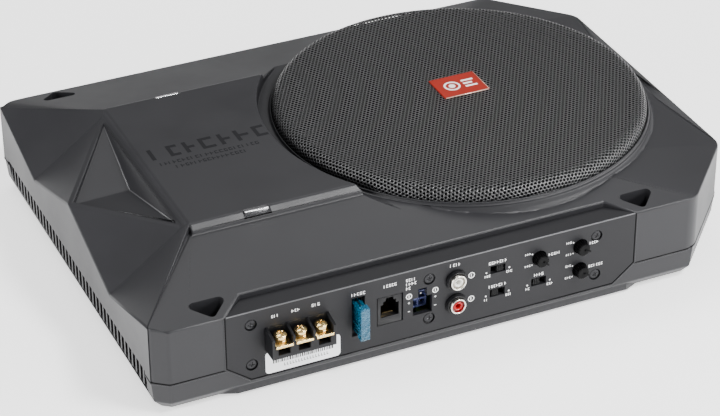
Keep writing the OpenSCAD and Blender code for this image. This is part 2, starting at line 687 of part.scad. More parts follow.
// line inputs: nickel barrels that stand out of a round collar
barrel_r = 4.3;
rca_ring_r = 5.7;
barrel_y = front_y - 4;
module rca_housing() {
    color(black) difference() {
        union() {
            span([rca_x - 7, front_y + skin + 0.05, row_lo - 7], [rca_x + 7, board_y - 0.2, row_hi + 7]);
            for (z = [row_lo, row_hi]) rod_y(rca_x, z, rca_ring_r, front_y - 1.2, front_y + skin + 1);
        }
        for (z = [row_lo, row_hi]) rod_y(rca_x, z, barrel_r - 0.1, front_y - 3, board_y - 2);
    }
}
module rca_barrels() {
    color("#d9d7d0") for (z = [row_lo, row_hi]) difference() {
        union() {
            rod_y(rca_x, z, barrel_r, barrel_y, front_y - 1.5);
            rod_y(rca_x, z, barrel_r - 0.1, front_y - 1.6, board_y - 2);
        }
        rod_y(rca_x, z, barrel_r - 0.8, barrel_y - 1, board_y);
    }
}
module rca_insert(z) {
    difference() {
        rod_y(rca_x, z, barrel_r - 0.8, barrel_y + 0.3, board_y - 2);
        rod_y(rca_x, z, 1.65, barrel_y - 1, board_y - 4);
    }
}
module rca_insert_left() { color("#eeeeea") rca_insert(row_hi); }
module rca_insert_right() { color("#b01218") rca_insert(row_lo); }

// slide switches
slider_w = 3.6;
slide_travel = 2.6;
rest_side = [1, -1, -1];
module switch_housings() {
    color(black) for (s = switch_xz) difference() {
        span([s[0] - 5.6, front_y + skin + 0.05, s[1] - 3.6], [s[0] + 5.6, board_y - 0.2, s[1] + 3.6]);
        span([s[0] - 3.5, front_y, s[1] - 1.9], [s[0] + 3.5, front_y + 6, s[1] + 1.9]);
    }
}
module slider(i) {
    s = switch_xz[i];
    x = s[0] + rest_side[i] * slide_travel / 2;
    color("#1c1c1e") difference() {
        span([x - slider_w / 2, front_y + 0.2, s[1] - 1.7], [x + slider_w / 2, front_y + 5.9, s[1] + 1.7]);
        for (k = [-1:1]) span([x + k * 1.1 - 0.25, front_y - 1, s[1] - 3],
                [x + k * 1.1 + 0.25, front_y + 0.8, s[1] + 3]);
    }
}
module sense_slider() { slider(0); }
module load_slider() { slider(1); }
module phase_slider() { slider(2); }

// potentiometers and their fluted knobs
knob_r = 3.7;
knob_y = front_y - 4.6;
module pot_bodies() {
    color("#2f3034") for (p = pot_xz) difference() {
        span([p[0] - 5, front_y + skin + 2.2, p[1] - 5], [p[0] + 5, board_y - 0.2, p[1] + 5]);
        rod_y(p[0], p[1], 1.55, front_y, board_y - 3);
    }
}
module knob(i) {
    p = pot_xz[i];
    color("#0f0f10") {
        difference() {
            union() {
                rod_y(p[0], p[1], knob_r, knob_y, front_y + 4.5);
                rod_y(p[0], p[1], 1.5, front_y + 4, board_y - 4);
            }
            for (a = [30:60:359]) translate([p[0], 0, p[1]]) rotate([0, a, 0])
                    rod_y(knob_r + 0.5, 0, 1.1, knob_y - 1, front_y - 1);
            span([p[0] - 0.1, knob_y - 1, p[1] - 0.4], [p[0] + knob_r + 1, knob_y + 0.5, p[1] + 0.4]);
        }
    }
}
module crossover_knob() { knob(0); }
module level_knob() { knob(1); }
module boost_knob() { knob(2); }

// ---- amplifier ----
amp_z = 12;
module amp_board() {
    color("#1d5b36") difference() {
        union() {
            span([-160, -90, amp_z], [-68, 90, amp_z + 1.6]);
            for (x = [-150, -72], y = [-84, 84]) translate([x, y, floor_z])
                    cylinder(r = 3, h = amp_z - floor_z);
        }
        for (x = [-150, -72], y = [-84, 84]) translate([x, y, floor_z + 2]) cylinder(r = 1.25, h = amp_z);
    }
}
module board_link() {
    color("#c9c9c4") {
        span([-92, board_y + 1.65, 15], [-72, board_y + 5, 20]);
        span([-92, board_y + 4, 17], [-72, -86, 18]);
        span([-92, -88, amp_z + 1.65], [-72, -85, 18.5]);
    }
}
module heat_sink() {
    color("#7d8084") {
        span([-162, -90, 14], [-158, 90, 31]);
        for (i = [-16:16]) span([-167.5, i * vent_pitch - 0.7, 14], [-161.9, i * vent_pitch + 0.7, 30]);
    }
}
module output_transistors() {
    color("#1a1a1c") for (i = [-4:3]) span([-157.95, i * 20 + 5, 16], [-153.5, i * 20 + 15, 31]);
}
module filter_capacitors() {
    color("#23355c") for (y = [18, 38, 58, 78]) translate([-112, y, amp_z + 1.65]) cylinder(r = 8, h = 28);
}
module toroid_transformer() {
    color("#b06a2c") translate([-112, -48, amp_z + 1.65]) difference() {
        cylinder(r = 25, h = 20);
        translate([0, 0, -1]) cylinder(r = 9, h = 30);
    }
}

// ---- one line per sub-part ----
top_lid();
bottom_tray();
case_screws();
rubber_feet();
deck_clips();
vent_louvre();
speaker_grille();
grille_badge();
woofer_basket();
basket_gasket();
woofer_screws();
back_plate();
ring_magnet();
top_plate();
woofer_cone();
dust_cap();
voice_coil();
surround();
spider();
speaker_tabs();
speaker_leads();
chamber_divider();
control_panel();
panel_screws();
panel_posts();
control_board();
serial_label();
terminal_block();
clamp_battery();
clamp_remote();
clamp_ground();
screw_battery();
screw_remote();
screw_ground();
fuse_holder();
fuse_body();
fuse_blades();
remote_jack();
jack_contacts();
high_level_socket();
high_level_pins();
rca_housing();
rca_barrels();
rca_insert_left();
rca_insert_right();
switch_housings();
sense_slider();
load_slider();
phase_slider();
pot_bodies();
crossover_knob();
level_knob();
boost_knob();
amp_board();
board_link();
heat_sink();
output_transistors();
filter_capacitors();
toroid_transformer();
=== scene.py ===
"""Looks of a compact powered car subwoofer: satin cast case, perforated grille, control panel.

Lengths are metres, in the frame of the CAD part: X along the case, -Y out of the control
panel, Z up. The grille, knobs, screws, fuse, line inputs, badge and printed marks are meshes
built here. The case and some small mouldings are CAD shapes with rounded edges. The woofer's
spider and surround are CAD shapes cut into sectors. The rest are the CAD nodes
with new materials.
"""
import math

import bmesh
import bpy
import numpy as np
from mathutils import Matrix, Vector


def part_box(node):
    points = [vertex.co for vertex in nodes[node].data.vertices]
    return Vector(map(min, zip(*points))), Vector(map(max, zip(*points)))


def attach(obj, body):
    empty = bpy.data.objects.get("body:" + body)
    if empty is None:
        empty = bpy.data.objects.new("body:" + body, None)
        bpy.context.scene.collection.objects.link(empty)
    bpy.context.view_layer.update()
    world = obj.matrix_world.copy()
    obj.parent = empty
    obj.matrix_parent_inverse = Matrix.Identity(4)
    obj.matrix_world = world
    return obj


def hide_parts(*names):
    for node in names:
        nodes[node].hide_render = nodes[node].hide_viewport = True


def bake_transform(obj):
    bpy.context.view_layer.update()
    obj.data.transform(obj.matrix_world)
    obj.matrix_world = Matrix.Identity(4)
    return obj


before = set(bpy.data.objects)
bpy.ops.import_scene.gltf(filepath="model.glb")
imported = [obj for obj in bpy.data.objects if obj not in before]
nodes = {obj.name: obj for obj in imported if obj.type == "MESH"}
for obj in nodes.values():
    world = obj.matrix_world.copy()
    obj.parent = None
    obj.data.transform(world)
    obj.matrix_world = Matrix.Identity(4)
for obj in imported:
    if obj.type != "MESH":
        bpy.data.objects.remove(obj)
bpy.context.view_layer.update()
MM = 0.001


def centre_of(node):
    low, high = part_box(node)
    return (low + high) / 2


def span_of(node):
    low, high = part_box(node)
    return high - low


# ---------------------------------------------------------------- materials
OPAQUE_IOR, CLEAR_IOR = 1.45, 1.5
COAT_ROUGH = 0.2
SPECK_SHARE = 0.35  # how much of the paint's colour drift comes from its finest grain


def new_material(name):
    """A new material, with its node tree, its shader and the socket of object coordinates."""
    mat = bpy.data.materials.new(name)
    mat.use_nodes = True
    tree = mat.node_tree
    coords = tree.nodes.new("ShaderNodeTexCoord").outputs["Object"]
    return mat, tree, tree.nodes["Principled BSDF"], coords


def wire(tree, source, target):
    tree.links.new(source, target)


def noise(tree, coords, scale, detail, roughness=0.5):
    node = tree.nodes.new("ShaderNodeTexNoise")
    node.inputs["Scale"].default_value = scale
    node.inputs["Detail"].default_value = detail
    node.inputs["Roughness"].default_value = roughness
    wire(tree, coords, node.inputs["Vector"])
    return node.outputs["Fac"]


def remap(tree, value, low, high):
    """Spreads the middle of a noise's values over the span from low to high."""
    node = tree.nodes.new("ShaderNodeMapRange")
    node.inputs["From Min"].default_value = 0.3
    node.inputs["From Max"].default_value = 0.7
    node.inputs["To Min"].default_value = low
    node.inputs["To Max"].default_value = high
    wire(tree, value, node.inputs["Value"])
    return node.outputs["Result"]


def bumped(tree, shader, layers):
    """Adds bump layers, each (height socket, distance in metres, strength)."""
    normal = None
    for height, distance, strength in layers:
        node = tree.nodes.new("ShaderNodeBump")
        node.inputs["Distance"].default_value = distance
        node.inputs["Strength"].default_value = strength
        wire(tree, height, node.inputs["Height"])
        if normal is not None:
            wire(tree, normal, node.inputs["Normal"])
        normal = node.outputs["Normal"]
    wire(tree, normal, shader.inputs["Normal"])


def tinted(tree, shader, colour, value, spread):
    """Base colour that drifts by +-spread of its brightness with value."""
    mix = tree.nodes.new("ShaderNodeMix")
    mix.data_type = "RGBA"
    mix.inputs["A"].default_value = [c * (1 - spread) for c in colour] + [1]
    mix.inputs["B"].default_value = [min(1, c * (1 + spread)) for c in colour] + [1]
    wire(tree, value, mix.inputs["Factor"])
    wire(tree, mix.outputs["Result"], shader.inputs["Base Color"])


def surface(name, colour, rough, spread=0.12, metal=0.0, grain=900, bump=(2e-5, 0.35),
            rough_spread=0.06, coat=0.0, specular=0.5, smudge=25, anisotropy=0.0):
    """A worn real surface: fine grain for the bump, slow smudges for the roughness and colour."""
    mat, tree, shader, coords = new_material(name)
    fine = noise(tree, coords, grain, 2.0)
    slow = noise(tree, coords, smudge, 4.0, 0.6)
    tinted(tree, shader, colour, slow, spread)
    wire(tree, remap(tree, slow, rough - rough_spread, rough + rough_spread),
         shader.inputs["Roughness"])
    shader.inputs["Metallic"].default_value = metal
    shader.inputs["Coat Weight"].default_value = coat
    shader.inputs["Coat Roughness"].default_value = COAT_ROUGH
    shader.inputs["Specular IOR Level"].default_value = specular
    shader.inputs["Anisotropic"].default_value = anisotropy
    shader.inputs["IOR"].default_value = OPAQUE_IOR
    bumped(tree, shader, [(fine, *bump)])
    return mat


def textured_paint(name, colour, rough, specular=0.3):
    """Satin powder coat: pebbled at two scales, with bright specks and rubbed patches."""
    mat, tree, shader, coords = new_material(name)
    fine = noise(tree, coords, 1500, 2.0)
    pebble = noise(tree, coords, 420, 3.0, 0.55)
    slow = noise(tree, coords, 14, 4.0, 0.6)
    mixed = tree.nodes.new("ShaderNodeMath")
    mixed.operation = "MULTIPLY_ADD"
    wire(tree, fine, mixed.inputs[0])
    mixed.inputs[1].default_value = SPECK_SHARE
    wire(tree, slow, mixed.inputs[2])
    tinted(tree, shader, colour, remap(tree, mixed.outputs[0], 0.0, 1.0), 0.13)
    wire(tree, remap(tree, slow, rough - 0.05, rough + 0.06), shader.inputs["Roughness"])
    shader.inputs["Specular IOR Level"].default_value = specular
    bumped(tree, shader, [(pebble, 2.5e-5, 0.35), (fine, 1.2e-5, 0.4)])
    return mat


def clear_plastic(name, colour, rough, transmission):
    """Tinted translucent plastic with moulding ripples."""
    mat, tree, shader, coords = new_material(name)
    ripple = noise(tree, coords, 700, 2.0)
    slow = noise(tree, coords, 90, 3.0)
    tinted(tree, shader, colour, slow, 0.3)
    wire(tree, remap(tree, slow, rough, rough + 0.12), shader.inputs["Roughness"])
    shader.inputs["Transmission Weight"].default_value = transmission
    shader.inputs["IOR"].default_value = CLEAR_IOR
    bumped(tree, shader, [(ripple, 1.2e-3, 1.0)])
    return mat


paint = textured_paint("case_paint", (0.0155, 0.0155, 0.0175), 0.4)
panel_paint = textured_paint("panel_paint", (0.011, 0.011, 0.0125), 0.42, 0.2)
# painted highlight: a lighter paint on the fine edge beads, in place of the light their edges
# catch
edge_highlight = textured_paint("edge_highlight", (0.085, 0.085, 0.09), 0.34, 0.45)
grille_paint = surface("grille_paint", (0.022, 0.022, 0.0235), 0.33, spread=0.05, grain=2600,
                       bump=(6e-6, 0.3), specular=1.0, rough_spread=0.015, smudge=9)
deep_black = surface("deep_black", (0.002, 0.002, 0.0022), 0.8, grain=700, specular=0.1)
block_black = surface("block_black", (0.005, 0.005, 0.006), 0.4, grain=1200, bump=(2e-5, 0.4),
                      specular=0.3)
knob_black = surface("knob_black", (0.002, 0.002, 0.0022), 0.32, grain=1400, specular=0.1)
slider_black = surface("slider_black", (0.006, 0.006, 0.0065), 0.5, grain=1400, specular=0.25)
screw_dark = surface("screw_dark", (0.03, 0.03, 0.032), 0.33, metal=0.9, grain=1600)
deck_gloss = surface("deck_gloss", (0.009, 0.009, 0.0105), 0.5, grain=1400, specular=0.15)
gold = surface("gold", (0.93, 0.66, 0.3), 0.2, spread=0.18, metal=1.0, grain=1100,
               bump=(3e-5, 0.4), smudge=160, rough_spread=0.09)
brass = surface("brass", (0.8, 0.6, 0.3), 0.3, spread=0.18, metal=1.0, grain=900, smudge=120)
nickel = surface("nickel", (0.83, 0.8, 0.74), 0.17, spread=0.08, metal=1.0, grain=1500, smudge=150,
                 anisotropy=0.3)
bright_steel = surface("bright_steel", (0.78, 0.78, 0.8), 0.25, metal=1.0, grain=1300,
                       anisotropy=0.4)
motor_steel = surface("motor_steel", (0.5, 0.5, 0.52), 0.34, metal=1.0, grain=700, smudge=60)
aluminium = surface("aluminium", (0.42, 0.43, 0.45), 0.38, metal=1.0, grain=700, anisotropy=0.5)
ferrite = surface("ferrite", (0.05, 0.05, 0.054), 0.7, grain=500, bump=(6e-5, 0.6))
rubber = surface("rubber", (0.02, 0.02, 0.021), 0.68, grain=600, bump=(5e-5, 0.5), specular=0.35)
cone_pulp = surface("cone_pulp", (0.025, 0.025, 0.028), 0.6, grain=380, bump=(1.2e-4, 0.6))
copper = surface("copper", (0.75, 0.36, 0.17), 0.3, spread=0.2, metal=1.0, grain=500,
                 bump=(8e-5, 0.6))
cloth = surface("cloth", (0.62, 0.45, 0.14), 0.85, spread=0.2, grain=420, bump=(2e-4, 0.7),
                specular=0.2)
board = surface("board", (0.03, 0.16, 0.07), 0.4, spread=0.25, grain=300, bump=(4e-5, 0.5),
                coat=0.3)
board_ink = surface("board_ink", (0.1, 0.16, 0.34), 0.35, grain=700)
divider = surface("divider", (0.08, 0.08, 0.085), 0.7, grain=400)
lead_red = surface("lead_red", (0.5, 0.04, 0.04), 0.4, grain=800)
ribbon = surface("ribbon", (0.62, 0.62, 0.58), 0.45, grain=800)
label_white = surface("label_white", (0.9, 0.9, 0.92), 0.35, spread=0.04, grain=1500,
                      bump=(6e-6, 0.3))
ink_black = surface("ink_black", (0.02, 0.02, 0.02), 0.5, grain=1500, bump=(4e-6, 0.2))
ink_white = surface("ink_white", (0.9, 0.9, 0.9), 0.5, spread=0.1, grain=2500, bump=(8e-6, 0.3))
badge_red = surface("badge_red", (0.25, 0.008, 0.001), 0.34, spread=0.12, grain=1300, coat=0.1,
                    smudge=60, specular=0.35)
badge_ink = surface("badge_ink", (0.86, 0.85, 0.83), 0.28, spread=0.04, grain=1500)
# painted highlight: pale metal for the lines along the badge's front and right edges
badge_highlight = surface("badge_highlight", (0.75, 0.55, 0.45), 0.3, spread=0.05, metal=0.6, grain=1500)
rca_white = surface("rca_white", (0.8, 0.79, 0.75), 0.32, spread=0.05, grain=1000)
rca_red = surface("rca_red", (0.4, 0.006, 0.01), 0.3, spread=0.12, grain=1000, coat=0.3)
fuse_blue = clear_plastic("fuse_blue", (0.002, 0.15, 0.27), 0.05, 0.6)
socket_violet = clear_plastic("socket_violet", (0.06, 0.075, 0.22), 0.25, 0.25)

# the nodes that are shown as they are; the others are replaced further down
NODE_MATERIALS = {
    "case_screws": screw_dark, "rubber_feet": rubber,
    "woofer_basket": block_black, "basket_gasket": rubber, "woofer_screws": screw_dark,
    "back_plate": motor_steel, "ring_magnet": ferrite, "top_plate": motor_steel,
    "woofer_cone": cone_pulp, "dust_cap": cone_pulp, "voice_coil": copper,
    "speaker_tabs": brass, "speaker_leads": lead_red, "chamber_divider": divider,
    "panel_posts": brass, "control_board": board, "amp_board": board, "board_link": ribbon,
    "serial_label": label_white, "fuse_holder": block_black, "fuse_blades": bright_steel,
    "jack_contacts": gold, "high_level_pins": bright_steel, "rca_housing": block_black,
    "switch_housings": deep_black, "pot_bodies": block_black, "heat_sink": aluminium,
    "output_transistors": block_black, "filter_capacitors": board_ink,
    "toroid_transformer": copper,
}
for name, mat in NODE_MATERIALS.items():
    node_materials = nodes[name].data.materials
    node_materials.clear()
    node_materials.append(mat)


# ---------------------------------------------------------------- mesh helpers
def new_object(name, mesh, mat):
    obj = bpy.data.objects.new(name, mesh)
    bpy.context.scene.collection.objects.link(obj)
    mesh.materials.append(mat)
    return obj


def add_object(name, mesh, mat, body):
    obj = new_object(name, mesh, mat)
    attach(obj, body)
    return obj


def add_solid(name, bm, mat, body):
    return add_object(name, mesh_from(name, bm), mat, body)


def add_faces(name, verts, faces, mat, body, slot):
    return add_object(name, grid_mesh(name, verts, faces), mat, body)


def shade(obj, sharp=None):
    """Smooth shading, broken at the edges that turn by more than sharp degrees."""
    obj.data.shade_smooth()
    if sharp:
        obj.data.set_sharp_from_angle(angle=math.radians(sharp))


def mesh_from(name, bm):
    mesh = bpy.data.meshes.new(name)
    bm.to_mesh(mesh)
    bm.free()
    return mesh


def grid_mesh(name, verts, faces):
    mesh = bpy.data.meshes.new(name)
    mesh.from_pydata([tuple(v) for v in verts], [], [tuple(f) for f in faces])
    mesh.update()
    return mesh


def soften(obj, width, segments=2, angle=35):
    """Rounds the edges that turn by more than angle degrees."""
    mod = obj.modifiers.new("soft_edges", "BEVEL")
    mod.width = width
    mod.segments = segments
    mod.limit_method = "ANGLE"
    mod.angle_limit = math.radians(angle)
    mod.harden_normals = True
    obj.data.shade_smooth()


def add_box(bm, low, high):
    low, high = Vector(low), Vector(high)
    made = bmesh.ops.create_cube(bm, size=1.0)
    bmesh.ops.scale(bm, vec=high - low, verts=made["verts"])
    bmesh.ops.translate(bm, vec=(high + low) / 2, verts=made["verts"])


def add_rod(bm, start, end, radius, sides=32):
    start, end = Vector(start), Vector(end)
    axis = end - start
    made = bmesh.ops.create_cone(bm, cap_ends=True, segments=sides, radius1=radius,
                                 radius2=radius, depth=axis.length)
    turn = axis.to_track_quat("Z", "Y").to_matrix().to_4x4()
    bmesh.ops.transform(bm, matrix=Matrix.Translation((start + end) / 2) @ turn,
                        verts=made["verts"])


def loop_faces(rows, size, closed):
    """Faces between successive rows of size points, and from the last to the first when closed."""
    faces = []
    for i in range(rows if closed else rows - 1):
        j = (i + 1) % rows
        for k in range(size):
            m = (k + 1) % size
            faces.append((i * size + k, j * size + k, j * size + m, i * size + m))
    return faces


def lathe(profile, sides):
    """Closed ring mesh from (radius, height) points about Z."""
    verts = []
    for i in range(sides):
        a = 2 * math.pi * i / sides
        verts += [(r * math.cos(a), r * math.sin(a), z) for r, z in profile]
    return verts, loop_faces(sides, len(profile), True)


def placed(verts, matrix):
    return [matrix @ Vector(v) for v in verts]


def merged(parts):
    """One (verts, faces) from several of (verts, faces, matrix)."""
    verts, faces = [], []
    for part, part_faces, matrix in parts:
        faces += [tuple(i + len(verts) for i in f) for f in part_faces]
        verts += placed(part, matrix)
    return verts, faces


def out_of_panel(x, y, z):
    """Puts a shape made about +Z on the panel, with its +Z pointing out along -Y."""
    return Matrix.Translation((x, y, z)) @ Matrix.Rotation(math.pi / 2, 4, "X")


# ---------------------------------------------------------------- perforated grille
GRILLE_LOW, GRILLE_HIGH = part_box("speaker_grille")
WOOFER = Vector((centre_of("speaker_grille").x, 0, 0))
GRILLE_R = span_of("speaker_grille").x / 2
GRILLE_TOP = GRILLE_HIGH.z
DOME = 0.4 * MM
ROLL_R = 6 * MM
SHEET = 0.8 * MM
PITCH = 2.2 * MM
HOLE_R, HOLE_SIDES = 0.76 * MM, 12
RIM_SINK = 0.03 * MM  # the holes' rims lie a little below the skin between them
SKIRT = 4.2 * MM


def grille_point(flat_r, angle, sink=0.0):
    """A point of the grille's outer skin, sunk into it, at a distance along the sheet."""
    flat = GRILLE_R - ROLL_R
    arc = ROLL_R * math.pi / 2
    if flat_r <= flat:
        r, z = flat_r, -DOME * (flat_r / flat) ** 2 - sink
    elif flat_r <= flat + arc:
        t = (flat_r - flat) / ROLL_R
        r = flat + (ROLL_R - sink) * math.sin(t)
        z = -DOME - (ROLL_R - DOME) * (1 - math.cos(t)) - sink * math.cos(t)
    else:
        r, z = GRILLE_R - sink, -ROLL_R - (flat_r - flat - arc)
    return Vector((WOOFER.x + r * math.cos(angle), r * math.sin(angle), GRILLE_TOP + z))


def build_sheet():
    """Staggered round holes in a flat sheet, wrapped over the dome and its rolled edge."""
    reach = GRILLE_R - ROLL_R + ROLL_R * math.pi / 2 + SKIRT
    step_y = PITCH * math.sqrt(3) / 2
    corner_r = PITCH / math.sqrt(3)
    rows = int(reach / step_y) + 1
    verts, faces, index = [], [], {}

    def vertex(x, y, sink=0.0):
        key = (round(x * 1e6), round(y * 1e6))
        if key not in index:
            index[key] = len(verts)
            verts.append((x, y, sink))
        return index[key]

    for j in range(-rows, rows + 1):
        for i in range(-rows - 1, rows + 2):
            cx = (i + (j % 2) * 0.5) * PITCH
            cy = j * step_y
            if math.hypot(cx, cy) > reach:
                continue
            rim, cell = [], []
            for k in range(HOLE_SIDES):
                a = math.radians(360 / HOLE_SIDES * (k + 1))
                far = corner_r if k % 2 == 0 else PITCH / 2
                cell.append(vertex(cx + far * math.cos(a), cy + far * math.sin(a)))
                rim.append(vertex(cx + HOLE_R * math.cos(a), cy + HOLE_R * math.sin(a), RIM_SINK))
            for k in range(HOLE_SIDES):
                m = (k + 1) % HOLE_SIDES
                faces.append((rim[k], cell[k], cell[m], rim[m]))
    points = [grille_point(math.hypot(x, y), math.atan2(y, x), sink) for x, y, sink in verts]
    obj = add_faces("perforated_grille", points, faces, grille_paint, "housing", "grille_steel")
    solid = obj.modifiers.new("thickness", "SOLIDIFY")
    solid.thickness = SHEET * 0.5
    solid.offset = -1
    # the sheet's back and the walls of its holes take the deep black: painted shade inside the
    # holes
    obj.data.materials.append(deep_black)
    solid.material_offset = 1
    solid.material_offset_rim = 1
    shade(obj)
    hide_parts("speaker_grille")


def build_hem():
    """The grille's bottom edge, turned inwards."""
    inner, foot = GRILLE_R - SHEET, GRILLE_LOW.z
    lip_r, lip_z = GRILLE_R - 3.5 * MM, foot + 0.8 * MM
    band = [(GRILLE_R, foot), (GRILLE_R, foot + 3.2 * MM), (GRILLE_R - 0.25 * MM, foot + 3.5 * MM),
            (inner, foot + 3.4 * MM), (inner, lip_z), (lip_r, lip_z), (lip_r, foot)]
    ring, faces = lathe(band, 160)
    hem = add_faces("grille_hem", [Vector(v) + WOOFER for v in ring], faces, grille_paint,
                    "housing", "grille_steel")
    shade(hem)


def build_hole_shade():
    """A deep black disc under the holes, as painted shade seen through them."""
    bm = bmesh.new()
    bmesh.ops.create_circle(bm, cap_ends=True, segments=96, radius=GRILLE_R - 7 * MM)
    bmesh.ops.translate(bm, vec=WOOFER + Vector((0, 0, GRILLE_TOP - 2.2 * MM)), verts=bm.verts)
    hole_shade_disc = add_solid("grille_hole_shade", bm, deep_black, "housing")
    thick = hole_shade_disc.modifiers.new("thickness", "SOLIDIFY")
    thick.thickness = 0.3 * MM


build_sheet()
build_hem()
build_hole_shade()


def welded(node):
    bm = bmesh.new()
    bm.from_mesh(nodes[node].data)
    bmesh.ops.remove_doubles(bm, verts=bm.verts, dist=1e-6)
    return bm


def clean_mesh(node):
    """The node's mesh, welded, with the triangles of each flat face joined."""
    bm = welded(node)
    bmesh.ops.dissolve_limit(bm, angle_limit=math.radians(0.6), verts=bm.verts, edges=bm.edges)
    return bm


def soft_copy(node, mat, width, body="housing"):
    """The CAD node's own shape, welded into clean faces and given rounded edges."""
    obj = add_solid(node + "_shell", clean_mesh(node), mat, body)
    soften(obj, width, angle=28)
    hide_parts(node)


RIDGE = 6  # degrees that two faces turn by where they meet in a ridge
LOW_RIDGE, LOW_RIDGE_LENGTH = math.radians(20), 15 * MM  # ridges this low and short stay sharp
WELLS = [Vector((x, y)) * MM for x in (-139.3, 102) for y in (-115.4, 115.4)]
WELL_REACH = 12.5 * MM


def cast_copy(node, mat, width, low, high, shortest=0.0):
    """Like soft_copy, but keeps facets flat and rounds only free ridges between two heights."""
    bm = clean_mesh(node)
    weight = bm.edges.layers.float.new("bevel_weight_edge")

    def is_ridge(edge):
        return len(edge.link_faces) == 2 and math.degrees(edge.calc_face_angle()) > RIDGE

    def is_rounded(edge):
        length = edge.calc_length()
        if not is_ridge(edge) or not all(low <= v.co.z <= high for v in edge.verts):
            return False
        if edge.calc_face_angle() < LOW_RIDGE and length < LOW_RIDGE_LENGTH or length < shortest:
            return False
        if any(all((v.co.xy - well).length < WELL_REACH for v in edge.verts) for well in WELLS):
            return False
        spokes = [e for v in edge.verts for e in v.link_edges if e is not edge and not is_ridge(e)]
        return length > 0.3 * width and all(e.calc_length() > 1.5 * width for e in spokes)

    for edge in bm.edges:
        if is_rounded(edge):
            edge[weight] = 1.0
    obj = add_solid(node + "_shell", bm, mat, "housing")
    shade(obj, 22)
    mod = obj.modifiers.new("soft_edges", "BEVEL")
    mod.width = width
    mod.segments = 3
    mod.limit_method = "WEIGHT"
    mod.use_clamp_overlap = False
    flat = obj.modifiers.new("flat_facets", "WEIGHTED_NORMAL")
    flat.weight = 100
    flat.keep_sharp = True
    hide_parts(node)


SEAM_Z = 19.6 * MM
LOWEST, HIGHEST = 0.0, 1.0  # heights below and above the whole case
cast_copy("top_lid", paint, 0.9 * MM, SEAM_Z + 8 * MM, HIGHEST)
cast_copy("bottom_tray", paint, 0.6 * MM, LOWEST, 9 * MM)
cast_copy("control_panel", panel_paint, 0.4 * MM, LOWEST, HIGHEST, 40 * MM)
soft_copy("terminal_block", block_black, 0.3 * MM)
soft_copy("remote_jack", block_black, 0.2 * MM)
soft_copy("high_level_socket", socket_violet, 0.25 * MM)
# the vent louvre is deep black as painted shade inside its slots; its rib fronts take the case
# paint in build_vent_fronts
soft_copy("vent_louvre", deep_black, 0.25 * MM)
soft_copy("deck_clips", bright_steel, 0.3 * MM)
for clamp in ("clamp_battery", "clamp_remote", "clamp_ground"):
    soft_copy(clamp, gold, 0.2 * MM)
for slider, body in (("sense_slider", "sense_switch"), ("load_slider", "load_switch"),
                     ("phase_slider", "phase_switch")):
    soft_copy(slider, slider_black, 0.12 * MM, body=body)


# ---------------------------------------------------------------- flexible rings
SECTORS = 16


def build_flexible_ring(node, mat):
    """A ring between cone and basket, cut into sectors that are each their own object."""
    wedge = 2 * math.pi / SECTORS
    for k in range(SECTORS):
        bm = welded(node)
        middle = (k + 0.5) * wedge
        for side in (-1, 1):
            angle = middle + side * wedge / 2
            out = Vector((-math.sin(angle), math.cos(angle), 0)) * side
            bmesh.ops.bisect_plane(bm, geom=bm.verts[:] + bm.edges[:] + bm.faces[:], dist=1e-7,
                                   plane_co=WOOFER, plane_no=out, clear_outer=True)
        bmesh.ops.holes_fill(bm, edges=[e for e in bm.edges if e.is_boundary], sides=0)
        name = f"{node}_{k}"
        obj = new_object(name, mesh_from(name, bm), mat)
        shade(obj, 50)
        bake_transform(obj)
        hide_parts(node)


build_flexible_ring("spider", cloth)
build_flexible_ring("surround", rubber)


# ---------------------------------------------------------------- seams and fine edges
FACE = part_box("control_panel")[0].y
SHOULDER = 50.6 * MM
NOTCH_RISE = 10 * MM
NOTCH_LEFT, NOTCH_RIGHT = 13 * MM, 12.3 * MM
POCKET_POINT = Vector((-138.2, 0, 55.3)) * MM
VENT_PITCH, VENT_RIBS, RIB_HALF = 5.5 * MM, 20, 1.0 * MM


def sweep(path, normals, section):
    """Sweeps a section of (sideways, outward) offsets along a path that faces along normals."""
    count, size, verts = len(path), len(section), []
    for i, (point, normal) in enumerate(zip(path, normals)):
        ends = [(path[k], path[k + 1]) for k in (i - 1, i) if 0 <= k < count - 1]
        steps = [(end - start).normalized() for start, end in ends]
        along = sum(steps, Vector()).normalized()
        stretch = 1 / max(0.4, along.dot(steps[0]))
        side = normal.cross(along).normalized() * stretch
        verts += [point + side * s + normal * n for s, n in section]
    ends = [tuple(range(size)), tuple((count - 1) * size + k for k in reversed(range(size)))]
    return verts, loop_faces(count, size, False) + ends


def seam(name, path, normals):
    """A dark joint line with a rounded lip below it that catches the light."""
    half, deep, proud = 0.32, -0.6, 0.03  # millimetres, like the lip's section
    gap = [(-half, deep), (half, deep), (half, proud), (-half, proud)]
    lip = [(-0.7 - 0.38 * math.cos(t), 0.22 * math.sin(t))
           for t in (math.radians(a) for a in range(0, 181, 30))]
    lip += [(-half, -0.5), (-1.08, -0.5)]
    for part, section, mat in (("gap", gap, deep_black), ("lip", lip, paint)):
        verts, faces = sweep(path, normals, [(s * MM, n * MM) for s, n in section])
        mesh = grid_mesh(name + "_" + part, verts, faces)
        bm = bmesh.new()
        bm.from_mesh(mesh)
        bmesh.ops.recalc_face_normals(bm, faces=bm.faces)
        bm.to_mesh(mesh)
        bm.free()
        shade(add_object(name + "_" + part, mesh, mat, "housing"), 40)


def case_outline(height):
    """The case's plan at a height: (angle about the centre, point), from the lid's own mesh."""
    points = sorted({(round(v.co.x, 5), round(v.co.y, 5)) for v in nodes["top_lid"].data.vertices
                     if abs(v.co.z - height) < 0.05 * MM})

    def turns_right(a, b, c):
        return (b[0] - a[0]) * (c[1] - a[1]) - (b[1] - a[1]) * (c[0] - a[0]) <= 1e-9

    def chain(items):
        out = []
        for p in items:
            while len(out) > 1 and turns_right(out[-2], out[-1], p):
                out.pop()
            out.append(p)
        return out[:-1]

    return [(math.atan2(y, x), Vector((x, y, height)))
            for x, y in chain(points) + chain(points[::-1])]


